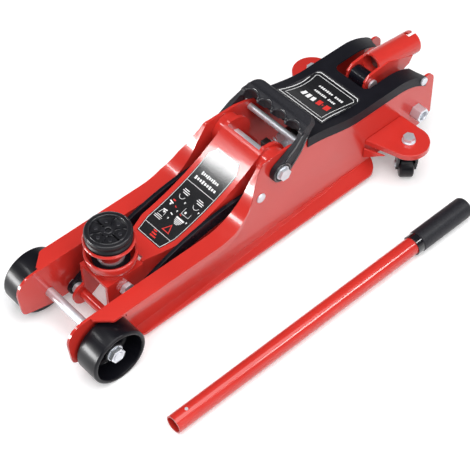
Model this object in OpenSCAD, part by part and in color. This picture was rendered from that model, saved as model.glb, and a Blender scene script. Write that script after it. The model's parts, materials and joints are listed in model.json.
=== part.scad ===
// Low-profile hydraulic trolley jack with its removable pump handle.
// X points to the saddle end, Y to the left, Z up, and the floor is Z = 0.
// Inside jack() the origin is on the floor under the middle of the front axle.

/* [Frame] */
// Inner half width between the two side plates
inner_half = 46.2; // [44:0.1:50]
// Sheet thickness of the side plates
plate_t = 3.3; // [3:0.1:5]
// Outer half width of the top flanges
flange_half = 70; // [64:1:72]
// Outer half width of the bottom lips
lip_half = 64; // [60:1:68]
// Height of the straight stretch of the top flange
flange_z = 84; // [82:0.5:88]
// Rear end of the side plates
plate_rear = -558; // [-562:1:-552]
// Highest point of the plates, above the arm's pivot
knee_z = 149; // [145:1:152]

/* [Wheels and casters] */
// Radius of the front wheels
wheel_r = 37.7; // [36:0.1:39]
// Outer face of the front wheels, from the middle
wheel_face = 87.6; // [84:0.2:90]
// Width of a front wheel
wheel_w = 35; // [30:1:36]
// Radius of the front axle
axle_r = 6; // [5:0.5:7]
// Radius of a caster wheel
caster_r = 18; // [16:0.5:19]
// Width of a caster wheel
caster_w = 19; // [16:1:20]
// Swivel axis of the casters, along X
caster_x = -474; // [-480:1:-470]
// Swivel axis of the casters, from the middle
caster_y = 88; // [84:1:90]
// Distance from a swivel axis to its wheel's axle
caster_trail = 6; // [4:1:8]
// Turn of the casters about their swivel axes
caster_turn = 48; // [0:1:90]

/* [Lifting gear] */
// Arm's pivot on the frame, as X and Z
pivot_a = [-282, 122];
// Arm's front pivot in the saddle yoke, as X and Z
pivot_b = [-60, 60];
// Step from an arm pivot to the link pivot on the same part
link_step = [28, -31];
// Outer half width of the arm
arm_half = 33; // [31:0.5:33]
// Outer half width of the arm's nose, inside the yoke
nose_half = 20.5; // [19:0.5:21]
// Sheet thickness of the arm
arm_t = 5; // [4:0.5:6]
// Radius of the arm's hollow-backed top curve
arm_curve_r = 330; // [320:5:340]
// Distance from the arm's pivot to the push roller
push_reach = 48; // [46:1:50]
// Angle of the push roller behind the vertical under the pivot
push_angle = 32.5; // [30:0.5:34]
// Rise of the link bars above the line of their pivots
link_rise = 22; // [16:1:24]

/* [Saddle] */
// Saddle axis along X
saddle_x = -62; // [-64:1:-60]
// Height of the saddle's rubber pad
saddle_top = 141; // [140:0.5:143]
// Radius of the rubber pad
pad_r = 28.9; // [28:0.1:29.5]
// Top of the collar round the saddle post
collar_top = 105; // [102:1:107]

/* [Pump and handle socket] */
// Axis height of the lifting ram
ram_z = 78; // [77:1:80]
// Pivot of the handle socket, as X and Z
pivot_p = [-475, 114];
// Axle of the pump roller, as X and Z
roller_q = [-520, 98];
// Middle of the socket tube's rear end, as X and Z
socket_at = [-566, 119];
// Length of the socket tube
socket_len = 77; // [76:1:84]
// Droop of the socket tube towards its rear end
socket_tilt = 6; // [0:1:8]
// Bore radius of the socket tube
socket_bore_r = 13; // [12.5:0.1:13.4]
// Outer radius of the socket tube
socket_r = 16.2; // [15.5:0.1:16.5]
// Length of the bore that takes the pump handle
socket_bore_len = 50; // [45:1:52]

/* [Carry handle] */
// Middle of the carry handle's crossbar, as X and Z
bar_at = [-331.5, 160];
// Half width of the carry handle over its arms
bail_half = 57; // [55:0.5:60]

/* [Pump handle] */
// Outer radius of the handle tube
tube_r = 11.75; // [11.5:0.05:12]
// Length of the handle over its grip
handle_len = 486; // [460:1:500]
// Length of the grip
grip_len = 88; // [80:1:100]
// Radius of the grip
grip_r = 14.25; // [13.5:0.25:15]
// Distance of the handle's axis from the jack's middle plane
handle_y = 184; // [180:1:190]

/* [Hidden] */
$fn = 72;

paint = "crimson";
dark_steel = "dimgray";
zinc = "silver";
black_part = [0.10, 0.10, 0.12];
rubber_part = [0.17, 0.17, 0.19];

// Radial clearance of a running fit, and the gap between neighbours
fit = 0.06;
gap = 0.3;

web_out = inner_half + plate_t;
pivot_c = pivot_a + link_step;
pivot_d = pivot_b + link_step;
push_e = pivot_a - push_reach * [sin(push_angle), cos(push_angle)];
nose_at = [9, 49];
nose_r = 34.5;
cover_t = 1.6;
cover_half = web_out + 1.9;
flap_depth = 15.5;
cover_front = -330;
cover_rear = -541;
screw_at = [-535, 105];
unit_bolt_at = [-527, 57];
wing_top = 66;
wing_t = 3.5;
wing_r = 27.3;
wing_rim = 57.5;
handle_tilt = asin((grip_r - tube_r) / (handle_len - grip_len + 1));

// The whole jack moves so that the origin is under the middle of its box
wing_reach = caster_y + wing_r;
place_x = -(nose_at.x + nose_r + socket_at.x - socket_r * sin(socket_tilt)) / 2;
place_y = -(handle_y + grip_r - wing_reach) / 2;

module jack() translate([place_x, place_y, 0]) children();

// A flat outline drawn in X and Z, thick from y0 to y1
module slab(y0, y1) translate([0, y1, 0]) rotate([90, 0, 0]) linear_extrude(y1 - y0) children();

// A round bar along Y through the point at = [x, z]
module bar_y(at, y0, y1, r) slab(y0, y1) translate(at) circle(r);

// A turned shape about the Y axis through at, drawn as [radius, y]
module turned_y(at) translate([at.x, 0, at.y]) rotate([-90, 0, 0]) rotate_extrude() children();

// A round bar along X through [y, z]
module bar_x(x0, x1, y, z, r) translate([x0, y, z]) rotate([0, 90, 0]) cylinder(h = x1 - x0, r = r);

// A hexagon bar along Y
module hex_y(at, y0, y1, r) slab(y0, y1) translate(at) circle(r, $fn = 6);

module right_side() mirror([0, 1, 0]) children();
module both_sides() {
  children();
  right_side() children();
}

function arc(c, r, a0, a1, n = 12) =
  [for (i = [0:n]) c + r * [cos(a0 + (a1 - a0) * i / n), sin(a0 + (a1 - a0) * i / n)]];
function smooth(t) = t < 0 ? 0 : t > 1 ? 1 : t * t * (3 - 2 * t);

// Height of the top cover's outer surface at x
function ridge(x) = x > -490 ? 126 + 16 * smooth((x + 420) / 92) : 126 - 17.5 * pow((-490 - x) / 50, 2);
ridge_x = [for (i = [0:24]) cover_front + (cover_rear - cover_front) * i / 24];

// ---------------------------------------------------------------- side plates

rise_r = 81;
rise_at = [-165, flange_z + rise_r];
rise_end = rise_at + rise_r * [cos(210), sin(210)];
knee_at = rise_end + [-22.5, 14.5];
knee_r = 9;

// Edge of the plate from the nose over the knee to the cover
function plate_top(drop = 0) = concat(
  [[nose_at.x, flange_z - drop]],
  arc(rise_at, rise_r + drop, 270, 210, 14),
  arc(knee_at, knee_r - drop, 30, 85, 6)
);

module web_outline() {
  polygon(concat(
    plate_top(),
    [[-300, knee_z - 2]],
    [for (x = ridge_x) [x, ridge(x) - cover_t - 0.6]],
    arc([-545, 94], 13, 80, 180, 6),
    [[plate_rear, 36], [plate_rear + 5, 30], [-535, 24], [-440, 25], [-50, 12]],
    [[0, 14.4]],
    arc(nose_at + [22.2, -15.8], 10, -78, -5, 6),
    arc(nose_at + [11, 11], nose_r - 11, 0, 88, 10)
  ));
}

// Top flange, a strip along the plate's edge that narrows towards the knee
module top_flange() intersection() {
  slab(web_out - 1, flange_half) polygon(concat(
    plate_top(),
    [for (i = [len(plate_top()) - 1:-1:0]) plate_top(3.5)[i]]
  ));
  linear_extrude(200) polygon(concat(
    [[12, web_out - 1], [12, web_out + 1], [-6, flange_half - 3]],
    arc([-12, flange_half - 8], 8, 40, 90, 6),
    [[-196, flange_half], [-222, flange_half - 5], [-246, web_out + 3], [-262, web_out - 1]]
  ));
}

// Turned-down edge of the flange, fading out up the rise
edge_depth = 11;
module flange_edge() intersection() {
  slab(web_out - 1, flange_half) polygon(concat(
    [[-27, flange_z - 1], [-27, flange_z - 8], [-31, flange_z - edge_depth]],
    [for (i = [0:8]) rise_at + (rise_r + edge_depth - 0.95 * i) * [cos(270 - 6.5 * i), sin(270 - 6.5 * i)]],
    [for (i = [8:-1:0]) rise_at + (rise_r + 1) * [cos(270 - 6.5 * i), sin(270 - 6.5 * i)]]
  ));
  linear_extrude(200) polygon([
    [-20, flange_half], [-196, flange_half], [-222, flange_half - 5], [-246, web_out + 3],
    [-246, web_out], [-221, flange_half - 8], [-195, flange_half - 3], [-20, flange_half - 3]
  ]);
}

// Bottom lip, nearly flat at the front and steep at the rear
module bottom_lip() intersection() {
  hull() {
    lip_section(-44, 13);
    lip_section(-447, 25.5);
  }
  linear_extrude(60) polygon(concat(
    [[-446, web_out - 2], [-44, web_out - 2]],
    arc([-59, lip_half - 15], 15, 0, 90, 8),
    arc([-432, lip_half - 15], 15, 90, 180, 8)
  ));
}

module lip_section(x, crease) translate([x, 0, 0]) rotate([90, 0, 90]) linear_extrude(0.5)
  polygon([
    [web_out - 2, crease], [web_out, crease + 0.5], [lip_half, 12.5], [lip_half, 9.5], [web_out - 2, crease - 4]
  ]);

module side_plate() difference() {
  union() {
    slab(inner_half, web_out) web_outline();
    top_flange();
    flange_edge();
    bottom_lip();
  }
  bar_y([0, wheel_r], inner_half - 1, web_out + 1, axle_r + fit);
  bar_y(pivot_a, inner_half - 1, web_out + 1, 9 + fit);
  bar_y(pivot_c, inner_half - 1, web_out + 1, 5 + fit);
  bar_y(screw_at, inner_half - 1, web_out + 1, 2.5 + fit);
  bar_y(unit_bolt_at, inner_half - 1, web_out + 1, 5 + fit);
}

module left_side_plate() color(paint) jack() side_plate();
module right_side_plate() color(paint) jack() right_side() side_plate();

// ---------------------------------------------------------- front axle, wheels

hub_in = wheel_face - wheel_w + 0.5;
hub_out = 76;

module front_axle() color(zinc) jack() bar_y([0, wheel_r], -hub_out - 9, hub_out + 9, axle_r);

module axle_nuts() color(zinc) jack() both_sides() {
  difference() {
    bar_y([0, wheel_r], hub_out + gap, hub_out + 2, 11);
    bar_y([0, wheel_r], hub_out, hub_out + 3, axle_r + fit);
  }
  difference() {
    hex_y([0, wheel_r], hub_out + 2.05, hub_out + 8, 10.4);
    bar_y([0, wheel_r], hub_out, hub_out + 10, axle_r + fit);
  }
}

// Deep open rim, its web close to the inner face, with a hub tube
module wheel_solid() turned_y([0, wheel_r]) polygon(concat(
  [[axle_r + fit, hub_in], [wheel_r - 4, hub_in]],
  arc([wheel_r - 3, hub_in + 3], 3, -90, 0, 6),
  arc([wheel_r - 2.6, wheel_face - 2.6], 2.6, 0, 90, 6),
  [[wheel_r - 4.4, wheel_face], [wheel_r - 5.4, wheel_face - 1.2], [wheel_r - 6.4, hub_in + 9]],
  [[wheel_r - 9, hub_in + 6.5], [15, hub_in + 6.5], [13, hub_in + 8.5]],
  [[12.5, hub_out], [axle_r + fit, hub_out]]
));

module left_front_wheel() color(black_part) jack() wheel_solid();
module right_front_wheel() color(black_part) jack() right_side() wheel_solid();

// ------------------------------------------------------------ fixed fasteners

module arm_pivot_shaft() color(zinc) jack() difference() {
  bar_y(pivot_a, -web_out, web_out, 9);
  both_sides() bar_y(pivot_a, web_out - 14, web_out + 1, 5 + fit);
}

module carry_handle_bolts() color(zinc) jack() both_sides() {
  bar_y(pivot_a, web_out - 13, bail_half + gap, 5);
  bar_y(pivot_a, bail_half + gap, bail_half + 1.6, 9.6);
  hex_y(pivot_a, bail_half + 1.6, bail_half + 6.6, 8.9);
}

// Riveted pins on which the link bars turn
link_in = 35.6;
link_t = 5;
module link_rivets() color(zinc) jack() both_sides() {
  bar_y(pivot_c, arm_half + 0.5, web_out + 0.5, 5);
  bar_y(pivot_c, arm_half + 0.5, link_in - gap, 8);
  bar_y(pivot_c, link_in + link_t + gap, inner_half - 0.02, 8);
  turned_y(pivot_c) polygon([
    [0, web_out], [7, web_out], [6.5, web_out + 1.6], [4, web_out + 2.6], [0, web_out + 3]
  ]);
}

rod_at = [-324, 131];
module spacer_rod() color(zinc) jack() bar_y(rod_at, -inner_half + 0.02, inner_half - 0.02, 4.3);

module cover_screws() color(zinc) jack() both_sides() {
  bar_y(screw_at, inner_half - 6, cover_half + 0.1, 2.5);
  bar_y(screw_at, cover_half, cover_half + 2.4, 5.6);
  hex_y(screw_at, inner_half - 5, inner_half - 0.1, 4);
}

module unit_bolts() color(zinc) jack() both_sides() {
  bar_y(unit_bolt_at, 22, web_out + 1, 5);
  difference() {
    hex_y(unit_bolt_at, web_out, web_out + 15, 10.8);
    bar_y(unit_bolt_at, web_out + 9, web_out + 16, 6.5);
  }
}

// ------------------------------------------------------------------ top cover

slot_front = -452;
slot_half = 29;

module cover_band(top, depth) slab(-cover_half, cover_half) polygon(concat(
  [for (x = ridge_x) [x, ridge(x) + top]],
  [for (i = [len(ridge_x) - 1:-1:0]) [ridge_x[i], ridge(ridge_x[i]) + top - depth]]
));

module top_cover() color(black_part) jack() difference() {
  cover_band(0, flap_depth);
  translate([-600, -web_out - 0.3, 0]) cube([400, 2 * web_out + 0.6, 60]);
  intersection() {
    cover_band(-cover_t, 40);
    translate([-600, -web_out - 0.3, 0]) cube([400, 2 * web_out + 0.6, 200]);
  }
  linear_extrude(200) polygon(concat(
    [[-600, -slot_half], [-600, slot_half]],
    arc([slot_front - 9, slot_half - 9], 9, 90, 0, 6),
    arc([slot_front - 9, 9 - slot_half], 9, 0, -90, 6)
  ));
  both_sides() linear_extrude(200)
    polygon([[-531, 20], [-531, 30], [-534, 38], [-540, 47], [-550, 47], [-550, 20]]);
  both_sides() bar_y(screw_at, web_out, cover_half + 1, 2.5 + fit);
}

// Thin plate on the cover, its sides drawn in by a curve
label_front = -362;
label_rear = -438;
module cover_label() color(rubber_part) jack() intersection() {
  cover_band(0.5, 0.5);
  difference() {
    linear_extrude(200) polygon([[label_front, -41], [label_front, 41], [label_rear + 4, 37],
      [label_rear, 33], [label_rear, -33], [label_rear + 4, -37]]);
    both_sides() translate([-395, 166, 0]) cylinder(h = 200, r = 129);
  }
}

// ------------------------------------------------------------- hydraulic unit

block_front = -445;
block_rear = -543;
block_half = 33;
barrel_z = 27;
cyl_front = -352;
cyl_r = 22;

module lug_outline() {
  translate(pivot_p) circle(12.4);
  translate([pivot_p.x - 12.4, 84]) square([24.8, pivot_p.y - 84]);
}

module pump_block() color(black_part) jack() difference() {
  union() {
    translate([block_rear, -block_half, 44]) cube([block_front - block_rear, 2 * block_half, 42]);
    slab(-12, 12) lug_outline();
    translate([roller_q.x, 0, barrel_z]) cylinder(h = 30, r = 13);
    both_sides() bar_y(unit_bolt_at, block_half - 1, inner_half - 0.05, 11);
    both_sides() bar_y([-460, 60], block_half - 1, inner_half - 0.05, 9);
  }
  bar_x(block_front - 12, block_front + 1, 0, ram_z, 20 + fit);
  both_sides() bar_y(unit_bolt_at, 20, inner_half + 1, 5 + fit);
  both_sides() bar_y(pivot_p, 5, 13, 4 + fit);
  translate([roller_q.x, 0, barrel_z + 2]) cylinder(h = 80, r = 9 + fit);
  bar_x(pivot_p.x - 14, pivot_p.x + 8, 0, pivot_p.y, 5 + fit);
  translate([-490, 22, 78]) cylinder(h = 20, r = 3 + fit);
}

module filler_plug() color(rubber_part) jack() translate([-490, 22, 78]) {
  cylinder(h = 8, r = 3);
  translate([0, 0, 8.02]) cylinder(h = 4, r = 6);
}

module ram_cylinder() color(dark_steel) jack() difference() {
  union() {
    bar_x(block_front + 0.05, cyl_front, 0, ram_z, cyl_r);
    bar_x(block_front - 11.9, block_front + 0.1, 0, ram_z, 20);
  }
  bar_x(block_front - 4, cyl_front + 1, 0, ram_z, 15);
}

module cylinder_gland() color(zinc) jack() difference() {
  union() {
    bar_x(cyl_front - 10, cyl_front, 0, ram_z, 15 - fit);
    translate([cyl_front + 0.02, 0, ram_z]) rotate([0, 90, 0]) cylinder(h = 8, r = 21.5, $fn = 6);
  }
  bar_x(cyl_front - 11, cyl_front + 9, 0, ram_z, 10 + fit);
}

head_face = push_e.x - 9.9;
module ram_rod() color(zinc) jack() {
  bar_x(cyl_front - 85, head_face - 10, 0, ram_z, 10);
  bar_x(cyl_front - 85, cyl_front - 72, 0, ram_z, 15 - fit);
}

module ram_head() color(dark_steel) jack() translate([head_face - 9.98, -20, ram_z - 15]) {
  cube([9.98, 40, 30]);
}

// Extension springs that draw the ram back, drawn as a coil of round wire
spring_y = 26.5;
spring_front = head_face - 11;
spring_rear = block_front + 3;
spring_turns = 22;
wire_r = 0.9;
function coil_point(u, r) = [spring_rear + (spring_front - spring_rear) * u,
  r * cos(360 * spring_turns * u), r * sin(360 * spring_turns * u)];
module coil_spring() {
  steps = spring_turns * 10;
  sides = 5;
  points = [for (i = [0:steps]) for (j = [0:sides - 1])
    coil_point(i / steps, 3.6 + wire_r * cos(360 * j / sides)) + [wire_r * sin(360 * j / sides), 0, 0]];
  faces = concat(
    [[for (j = [0:sides - 1]) j]],
    [for (i = [0:steps - 1]) for (j = [0:sides - 1])
      [i * sides + j, (i + 1) * sides + j, (i + 1) * sides + (j + 1) % sides, i * sides + (j + 1) % sides]],
    [[for (j = [sides - 1:-1:0]) steps * sides + j]]
  );
  polyhedron(points, faces);
}
module return_springs() color(zinc) jack() both_sides() translate([0, spring_y, ram_z - 10]) coil_spring();

module pump_gland() color(zinc) jack() translate([roller_q.x, 0, barrel_z + 2.05]) difference() {
  union() {
    cylinder(h = 57, r = 9);
    translate([0, 0, 57]) cylinder(h = 4, r = 11.5, $fn = 6);
  }
  translate([0, 0, 1.5]) cylinder(h = 80, r = 6 + fit);
}

plunger_top = roller_q.y - 6.5 - 0.3;
module pump_plunger() color(zinc) jack() translate([roller_q.x, 0, 0]) {
  translate([0, 0, barrel_z + 6]) cylinder(h = plunger_top - barrel_z - 6, r = 6);
}

// -------------------------------------------------------------- caster mounts

module wing_outline(inset = 0) {
  translate([caster_x, caster_y]) circle(wing_r - inset);
  polygon([[-500 + inset, web_out + 0.05 - 2 * inset], [caster_x - wing_r + inset + 0.4, caster_y + 4],
    [caster_x + wing_r - inset - 0.8, caster_y + 5], [-434 - inset, web_out + 0.05 - 2 * inset]]);
}

module caster_bracket() difference() {
  union() {
    difference() {
      translate([0, 0, wing_rim]) linear_extrude(wing_top - wing_rim) wing_outline();
      translate([0, 0, 40]) linear_extrude(wing_top - wing_t - 40) wing_outline(3);
    }
    // Stiffening gusset under the front edge
    translate([-434, web_out + 0.05, 0]) rotate([90, 0, 109.5]) translate([0, 0, 0.2]) linear_extrude(3)
      polygon([[0, 53], [30, 53], [24, 50], [0, 36]]);
  }
  translate([caster_x, caster_y, 40]) cylinder(h = 40, r = 5 + fit);
  translate([-520, 0, 0]) cube([100, web_out + 0.03, 100]);
}

module left_caster_bracket() color(paint) jack() caster_bracket();
module right_caster_bracket() color(paint) jack() right_side() caster_bracket();

bearing_z = 55;
module caster_bolts() color(zinc) jack() both_sides() translate([caster_x, caster_y, 0]) {
  translate([0, 0, 44]) cylinder(h = wing_top - 44, r = 5);
  translate([0, 0, wing_top]) cylinder(h = 1.6, r = 9);
  translate([0, 0, wing_top + 1.6]) cylinder(h = 6, r = 8, $fn = 6);
  translate([0, 0, 43.5]) cylinder(h = 3.2, r = 7.5, $fn = 6);
}

module caster_bearings() color(zinc) jack() both_sides()
  translate([caster_x, caster_y, bearing_z]) difference() {
  cylinder(h = wing_top - wing_t - bearing_z - 0.02, r = 15);
  translate([0, 0, -1]) cylinder(h = 20, r = 5 + fit);
}

// ------------------------------------------------------------------- casters

// Everything in here is drawn with the swivel axis at the origin, trail along X
module at_caster() translate([caster_x, caster_y, 0]) rotate([0, 0, caster_turn]) children();

fork_in = caster_w / 2 + 0.8;
module fork() difference() {
  union() {
    translate([0, 0, 48]) cylinder(h = bearing_z - gap - 48, r = 16.5);
    both_sides() slab(fork_in, fork_in + 3) {
      translate([-caster_trail, caster_r]) circle(8);
      polygon([
        [-caster_trail - 7.5, caster_r + 2], [-13, 50], [13, 50], [11, 38], [-caster_trail + 8, caster_r]
      ]);
    }
  }
  translate([0, 0, 40]) cylinder(h = 20, r = 5 + fit);
  bar_y([-caster_trail, caster_r], -30, 30, 3 + fit);
}

module left_caster_fork() color(black_part) jack() at_caster() fork();
module right_caster_fork() color(black_part) jack() right_side() at_caster() fork();

module caster_axle() {
  bar_y([-caster_trail, caster_r], -fork_in - 3, fork_in + 3, 3);
  both_sides() bar_y([-caster_trail, caster_r], fork_in + 3.02, fork_in + 4.5, 5);
}
module left_caster_axle() color(zinc) jack() at_caster() caster_axle();
module right_caster_axle() color(zinc) jack() right_side() at_caster() caster_axle();

module caster_wheel() turned_y([-caster_trail, caster_r]) polygon(concat(
  [[3 + fit, -caster_w / 2]],
  arc([caster_r - 3, 3 - caster_w / 2], 3, -90, 0, 5),
  arc([caster_r - 3, caster_w / 2 - 3], 3, 0, 90, 5),
  [[3 + fit, caster_w / 2]]
));
module left_caster_wheel() color(rubber_part) jack() at_caster() caster_wheel();
module right_caster_wheel() color(rubber_part) jack() right_side() at_caster() caster_wheel();

// ------------------------------------------------------------------ lift arm

curve_at = [-69, 77 + arm_curve_r];
arm_rear = -267;

// Side view of the arm, its top curve lowered by drop
module arm_profile(drop = 0) {
  difference() {
    polygon([[-92, 90], [-240, 160], [pivot_a.x + 2, pivot_a.y + 25.9], [push_e.x - 10, push_e.y + 8],
      [push_e.x + 4, push_e.y - 12.6], [-240, 71], [-196, 58], [-150, 45], [-62, 46.2],
      [-60, 73.8], [-86, 73.8], [-92, 76]]);
    translate(curve_at) circle(arm_curve_r + drop, $fn = 180);
  }
  translate(pivot_a) circle(26);
  translate(push_e) circle(13);
  translate(pivot_b) circle(14);
}

// Plan of the arm, inset by t
module arm_plan(t = 0) polygon([
  for (s = [1, -1]) each s > 0
    ? [[-340, arm_half - t], [-136, arm_half - t], [-96, nose_half - t], [-30, nose_half - t]]
    : [[-30, t - nose_half], [-96, t - nose_half], [-136, t - arm_half], [-340, t - arm_half]]
]);

module lift_arm() color(paint) jack() difference() {
  intersection() {
    slab(-arm_half, arm_half) arm_profile();
    linear_extrude(200) arm_plan();
  }
  intersection() {
    slab(-arm_half, arm_half) difference() {
      translate([-330, 20]) square([236.5, 150]);
      translate(curve_at) circle(arm_curve_r + arm_t, $fn = 180);
      translate([arm_rear + 3, 124]) square([40, 40]);
    }
    linear_extrude(200) arm_plan(arm_t);
  }
  intersection() {
    translate([-96, -40, 0]) cube([80, 80, 200]);
    linear_extrude(200) arm_plan(arm_t);
  }
  intersection() {
    translate([-340, -40, 0]) cube([340 + arm_rear - 4, 80, 200]);
    linear_extrude(200) arm_plan(arm_t);
  }
  bar_y(pivot_a, -40, 40, 9 + fit);
  bar_y(pivot_b, -40, 40, 6 + fit);
  bar_y(push_e, -40, 40, 5 + fit);
}

// Thin plate in the arm's hollow back
module arm_label() color(black_part) jack() intersection() {
  slab(-40, 40) difference() {
    translate(curve_at) circle(arm_curve_r, $fn = 180);
    translate(curve_at) circle(arm_curve_r - 0.5, $fn = 180);
  }
  linear_extrude(200) polygon([
    [-248, 19], [-237, 26], [-138, 25.6], [-117.5, 20.5],
    [-117.5, -20.5], [-138, -25.6], [-237, -26], [-248, -19]
  ]);
}

module arm_bushes() color(paint) jack() both_sides() difference() {
  bar_y(pivot_a, arm_half + 0.02, inner_half - gap, 22);
  bar_y(pivot_a, arm_half - 1, inner_half + 1, 9 + fit);
}

module push_pin() color(zinc) jack() bar_y(push_e, -arm_half - 0.2, arm_half + 0.2, 5);

module push_roller() color(zinc) jack() difference() {
  bar_y(push_e, 0.6 - arm_half + arm_t, arm_half - arm_t - 0.6, 9);
  bar_y(push_e, -40, 40, 5 + fit);
}

// ----------------------------------------------------------------- link bars

link_mid = (pivot_c + pivot_d) / 2;
link_half_len = norm(pivot_d - pivot_c) / 2;
link_r = (link_half_len * link_half_len + link_rise * link_rise) / (2 * link_rise);
link_normal = [pivot_c.y - pivot_d.y, pivot_d.x - pivot_c.x] / (2 * link_half_len);
link_centre = link_mid - (link_r - link_rise) * link_normal;

module link_bar() difference() {
  slab(link_in, link_in + link_t) {
    intersection() {
      difference() {
        translate(link_centre) circle(link_r + 9, $fn = 180);
        translate(link_centre) circle(link_r - 9, $fn = 180);
      }
      polygon([
        link_centre, link_centre + 1.3 * (pivot_c - link_centre), link_centre + 1.3 * (pivot_d - link_centre)
      ]);
    }
    translate(pivot_c) circle(11);
    translate(pivot_d) circle(11);
  }
  bar_y(pivot_c, 30, 45, 5 + fit);
  bar_y(pivot_d, 30, 45, 4.5 + gap);
}

module left_link() color(black_part) jack() link_bar();
module right_link() color(black_part) jack() right_side() link_bar();

// ------------------------------------------------------------ yoke and saddle

yoke_half = 25.5;
yoke_t = 4;
yoke_top = 81;
yoke_front = saddle_x + 28;
yoke_rear = saddle_x - 26;

module yoke_cheek() {
  polygon([[yoke_front, yoke_top], [yoke_rear, yoke_top], [yoke_rear, 52], [-80, 44],
    [pivot_d.x - 12, pivot_d.y - 9.5], [pivot_d.x + 14.5, pivot_d.y + 4], [yoke_front, 46]]);
  translate(pivot_d) circle(15);
}

module collar() translate([saddle_x, 0, 0]) rotate_extrude() polygon(concat(
  [[22, yoke_top - 1], [25.4, yoke_top - 1]],
  arc([29.4, yoke_top + 3], 4, 180, 130, 4),
  [[29.8, yoke_top + 10], [32.2, yoke_top + 15], [32.2, collar_top - 3]],
  arc([30.4, collar_top - 1.8], 1.8, 0, 180, 8),
  [[28.4, yoke_top + 16], [25.5, yoke_top + 11], [22, yoke_top + 8]]
));

module saddle_yoke() color(paint) jack() difference() {
  union() {
    slab(-yoke_half, yoke_half) yoke_cheek();
    collar();
  }
  translate([-200, yoke_t - yoke_half, 0]) cube([200, 2 * (yoke_half - yoke_t), yoke_top - yoke_t]);
  translate([saddle_x, 0, 70]) cylinder(h = 20, r = 12 + fit);
  bar_y(pivot_b, -30, 30, 6 + fit);
  bar_y(pivot_d, -30, 30, 4.5 + fit);
}

module yoke_pivot_bolt() color(zinc) jack() {
  bar_y(pivot_b, -yoke_half - 3, yoke_half + 3, 6);
  both_sides() hex_y(pivot_b, yoke_half + 0.05, yoke_half + 6.5, 9.2);
}

pin_end = link_in + link_t + 2.5;
module link_cross_pin() color(zinc) jack() {
  bar_y(pivot_d, -pin_end, pin_end, 4.5);
  both_sides() bar_y(pivot_d, yoke_half + gap, link_in - gap, 7.5);
  both_sides() bar_y(pivot_d, link_in + link_t + gap, pin_end, 7.5);
}

module cross_tube() color(paint) jack() difference() {
  bar_y(pivot_d, yoke_t - yoke_half + 0.02, yoke_half - yoke_t - 0.02, 6.2);
  bar_y(pivot_d, -30, 30, 4.5 + fit);
}

module saddle_bush() color(black_part) jack() translate([saddle_x, 0, 0]) rotate_extrude()
  polygon([[10 + fit, yoke_top - 4], [12, yoke_top - 4], [12, yoke_top + 0.02], [19, yoke_top + 0.02],
    [19, yoke_top + 9], [23, yoke_top + 13], [23, yoke_top + 14], [10 + fit, yoke_top + 14]]);

post_foot = yoke_top + 14.2 + 2.2;
rim_low = saddle_top - 18;
module saddle_cup() color(paint) jack() translate([saddle_x, 0, 0]) rotate_extrude() polygon(concat(
  [[0, yoke_top - 9], [10, yoke_top - 9], [10, post_foot], [15.2, post_foot], [15.2, rim_low - 9]],
  arc([23.2, rim_low - 9], 8, 180, 118, 6),
  [[29.8, rim_low]],
  arc([29.8, rim_low + 1.8], 1.8, -60, 60, 4),
  [[29.4, rim_low + 4.6], [28.9, rim_low + 2.4], [0, rim_low + 2.4]]
));

pad_base = rim_low + 2.5;
module saddle_pad() color(rubber_part) jack() translate([saddle_x, 0, 0]) {
  rotate_extrude() polygon(concat(
    [[0, pad_base], [pad_r - 1, pad_base], [pad_r - 0.6, pad_base + 4], [pad_r - 2.2, pad_base + 6]],
    arc([pad_r - 3, saddle_top - 3], 3, 0, 90, 6),
    [[22.5, saddle_top], [20.8, saddle_top - 3.6], [0, saddle_top - 3.6]]
  ));
  translate([0, 0, saddle_top - 4]) difference() {
    cylinder(h = 2.6, r = 9, $fn = 6);
    translate([0, 0, 0.4]) cylinder(h = 3, r = 3.6);
  }
  for (k = [0:5]) rotate([0, 0, 60 * k + 30]) translate([7, -1.2, saddle_top - 4]) cube([14, 2.4, 2.2]);
}

module saddle_washer() color(zinc) jack() translate([saddle_x, 0, yoke_top + 14.15]) difference() {
  cylinder(h = 2.1, r = 16.8);
  translate([0, 0, -1]) cylinder(h = 5, r = 10 + fit);
}

module saddle_clip() color(zinc) jack() translate([saddle_x, 0, yoke_top - 9]) difference() {
  translate([0, 0, 1.2]) cylinder(h = 2, r = 13);
  translate([0, 0, -1]) cylinder(h = 8, r = 10 + fit);
}

// --------------------------------------------------------------- pump socket

cheek_in = 13.2;
cheek_out = 16.8;

// The tube's own frame: its rear end at the origin and its length along X
module along_tube() translate([socket_at.x, 0, socket_at.y]) rotate([0, -socket_tilt, 0]) children();

module cheek_outline() {
  polygon([[-505, 133], [pivot_p.x + 3, pivot_p.y + 16], [pivot_p.x + 12, pivot_p.y + 9],
    [pivot_p.x + 10, pivot_p.y - 9], [pivot_p.x - 8, pivot_p.y - 12], [roller_q.x + 8, roller_q.y - 5],
    [roller_q.x - 8, roller_q.y - 5], [-534, 96], [-537, 103], [-545, 106], [-551, 116]]);
  translate(pivot_p) circle(13);
  translate(roller_q) circle(9);
}

module handle_socket() color(paint) jack() difference() {
  union() {
    along_tube() bar_x(0, socket_len, 0, 0, socket_r);
    both_sides() slab(cheek_in, cheek_out) cheek_outline();
  }
  along_tube() {
    bar_x(-1, socket_bore_len, 0, 0, socket_bore_r);
    bar_x(socket_bore_len - 1, socket_len, 0, 0, 10);
    bar_x(socket_bore_len + 6, socket_len + 1, 0, 0, socket_bore_r);
    translate([-1, -3, 9]) cube([13, 6, 12]);
    translate([7, -8, 9]) cube([5, 8, 12]);
  }
  bar_y(pivot_p, -20, 20, 4 + fit);
  bar_y(roller_q, -20, 20, 3 + fit);
}

module socket_pivot_screws() color(zinc) jack() both_sides() {
  bar_y(pivot_p, 6, cheek_out + 0.4, 4);
  bar_y(pivot_p, cheek_out + 0.3, cheek_out + 3.5, 7);
}

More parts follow.
